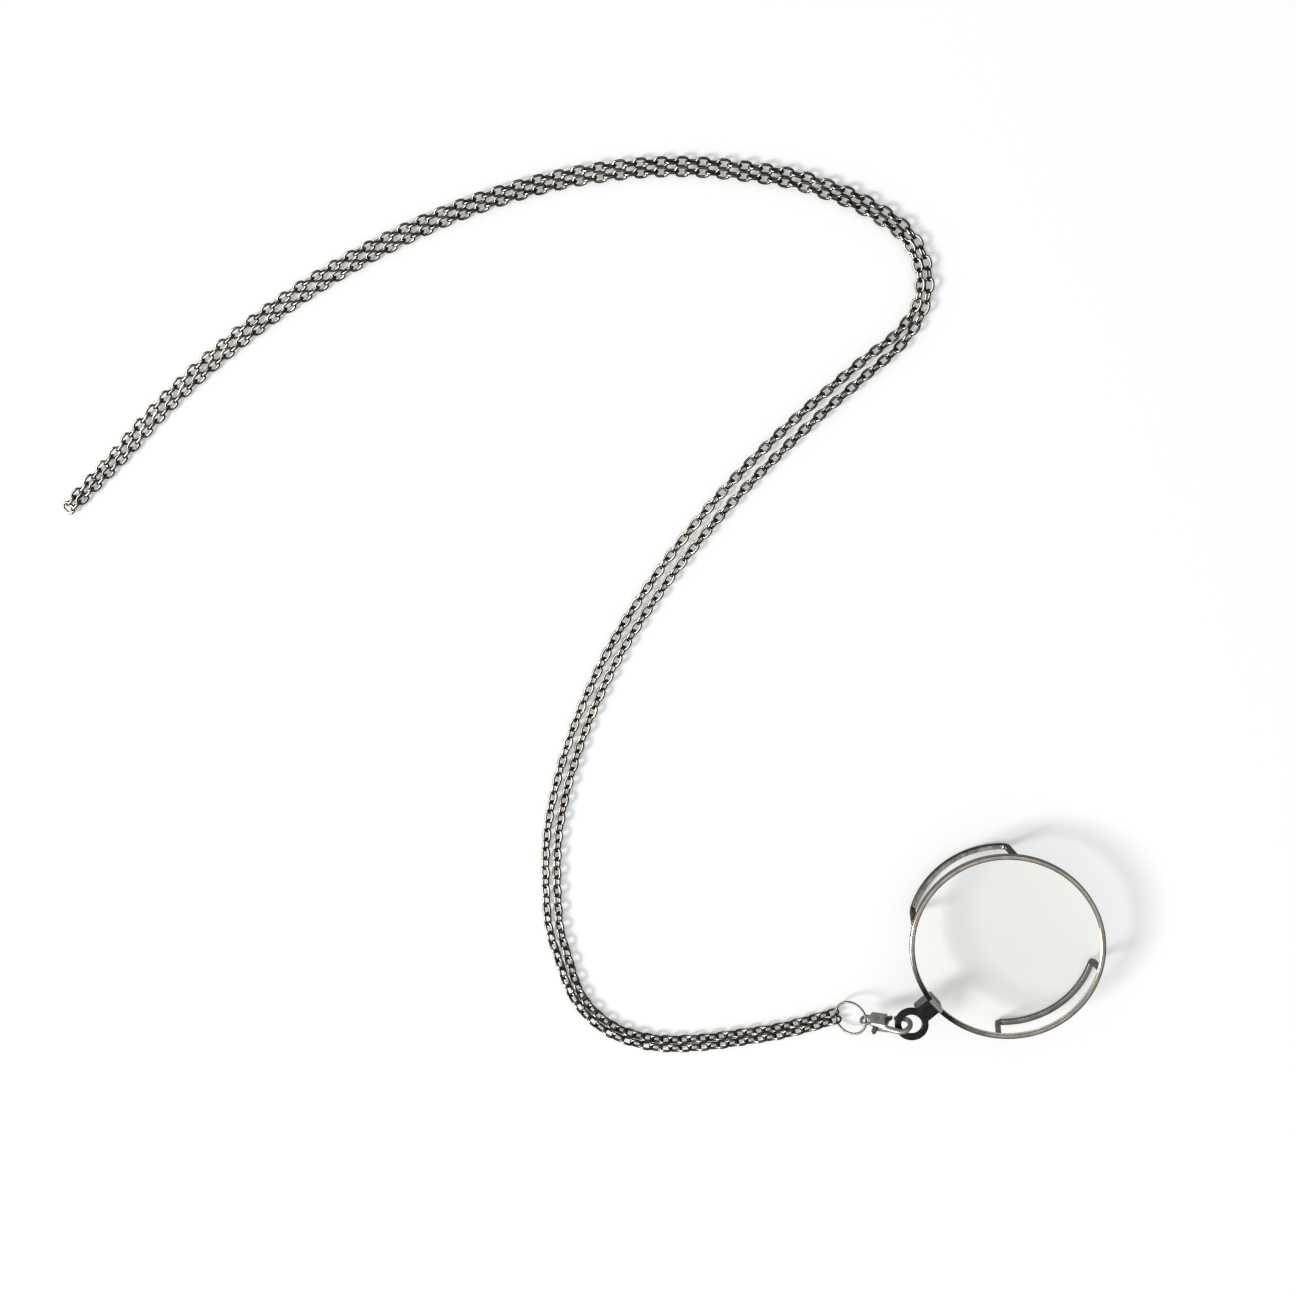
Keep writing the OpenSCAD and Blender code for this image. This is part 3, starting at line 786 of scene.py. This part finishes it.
def makeFloor(s):
    bm = bmesh.new()
    bmesh.ops.create_grid(bm, x_segments=1, y_segments=1, size=s["floorSize"] / 2)
    mesh = bpy.data.meshes.new("floor")
    bm.to_mesh(mesh)
    bm.free()
    material, tree, shader = newMaterial("floorPaper")
    shader.inputs["Roughness"].default_value = s["paperRoughness"]
    shader.inputs["Specular IOR Level"].default_value = 0.0
    shader.inputs["Emission Color"].default_value = (*s["glowColour"], 1)
    # The paper glows a little towards the camera, and more behind the lens
    rays = addNode(tree, "ShaderNodeLightPath", -700, 0)
    seen = addNode(tree, "ShaderNodeMath", -450, 0, operation="MULTIPLY")
    seen.inputs[1].default_value = s["glow"]
    through = addNode(tree, "ShaderNodeMath", -450, -200, operation="MULTIPLY")
    through.inputs[1].default_value = s["glowThroughLens"]
    glow = addNode(tree, "ShaderNodeMath", -200, 0, operation="ADD")
    tree.links.new(rays.outputs["Is Camera Ray"], seen.inputs[0])
    tree.links.new(rays.outputs["Is Transmission Ray"], through.inputs[0])
    tree.links.new(seen.outputs[0], glow.inputs[0])
    tree.links.new(through.outputs[0], glow.inputs[1])
    tree.links.new(glow.outputs[0], shader.inputs["Emission Strength"])
    # It is dim in the metal's mirror. A ray refracted by the lens counts as glossy too, and is
    # taken out again.
    mirrored = addNode(tree, "ShaderNodeMath", -450, 300, operation="SUBTRACT", use_clamp=True)
    tree.links.new(rays.outputs["Is Glossy Ray"], mirrored.inputs[0])
    tree.links.new(rays.outputs["Is Transmission Ray"], mirrored.inputs[1])
    shown = mixColour(tree, -200, 300, mirrored.outputs[0], s["paper"], s["paperInMetal"])
    tree.links.new(shown, shader.inputs["Base Color"])
    mesh.materials.append(material)
    floor = bpy.data.objects.new("floor", mesh)
    bpy.context.scene.collection.objects.link(floor)


def makeWorld(s):
    world = bpy.data.worlds.new("studio")
    bpy.context.scene.world = world
    world.use_nodes = True
    tree = world.node_tree
    tree.nodes.clear()
    rays = addNode(tree, "ShaderNodeLightPath", -400, 300)
    place = addNode(tree, "ShaderNodeTexCoord", -1000, -100)
    parts = addNode(tree, "ShaderNodeSeparateXYZ", -800, -100)
    shade = addNode(tree, "ShaderNodeValToRGB", -600, -100)
    greyRamp(shade, s["reflected"])
    ambient = addNode(tree, "ShaderNodeBackground", -200, 100)
    ambient.inputs["Color"].default_value = (*s["ambientColour"], 1)
    ambient.inputs["Strength"].default_value = s["ambient"]
    mirrored = addNode(tree, "ShaderNodeBackground", -200, -100)
    mix = addNode(tree, "ShaderNodeMixShader", 100, 100)
    # The camera sees plain white, also through the lens
    white = addNode(tree, "ShaderNodeBackground", 100, -100)
    white.inputs["Color"].default_value = (1, 1, 1, 1)
    seen = addNode(tree, "ShaderNodeMath", 100, 300, operation="MAXIMUM")
    last = addNode(tree, "ShaderNodeMixShader", 300, 100)
    output = addNode(tree, "ShaderNodeOutputWorld", 500, 100)
    links = tree.links
    links.new(place.outputs["Generated"], parts.inputs[0])
    links.new(parts.outputs["Z"], shade.inputs["Fac"])
    links.new(shade.outputs["Color"], mirrored.inputs["Color"])
    links.new(rays.outputs["Is Glossy Ray"], mix.inputs["Fac"])
    links.new(ambient.outputs[0], mix.inputs[1])
    links.new(mirrored.outputs[0], mix.inputs[2])
    links.new(rays.outputs["Is Camera Ray"], seen.inputs[0])
    links.new(rays.outputs["Is Transmission Ray"], seen.inputs[1])
    links.new(seen.outputs[0], last.inputs["Fac"])
    links.new(mix.outputs[0], last.inputs[1])
    links.new(white.outputs[0], last.inputs[2])
    links.new(last.outputs[0], output.inputs["Surface"])


def makeLamp(name, lampSettings, s):
    data = bpy.data.lights.new(name, "AREA")
    data.shape = "DISK"
    data.size = lampSettings["size"]
    data.energy = lampSettings["power"]
    data.color = s["lampColour"]
    lamp = bpy.data.objects.new(name, data)
    bpy.context.scene.collection.objects.link(lamp)
    aim = Vector(s["aim"]) * mm
    lamp.location = aim + Vector(lampSettings["from"]).normalized() * lampSettings["distance"]
    lamp.rotation_euler = (aim - lamp.location).to_track_quat("-Z", "Y").to_euler()
    return lamp


makeFloor(stageSettings)
makeWorld(stageSettings)
makeLamp("keyLamp", keyLampSettings, stageSettings)
# A broad light for the chain alone, seen as glints on its links
glintLamp = makeLamp("glintLamp", glintLampSettings, stageSettings)
glinting = bpy.data.collections.new("glinting")
glinting.objects.link(chain)
glintLamp.light_linking.receiver_collection = glinting
print("stage set")
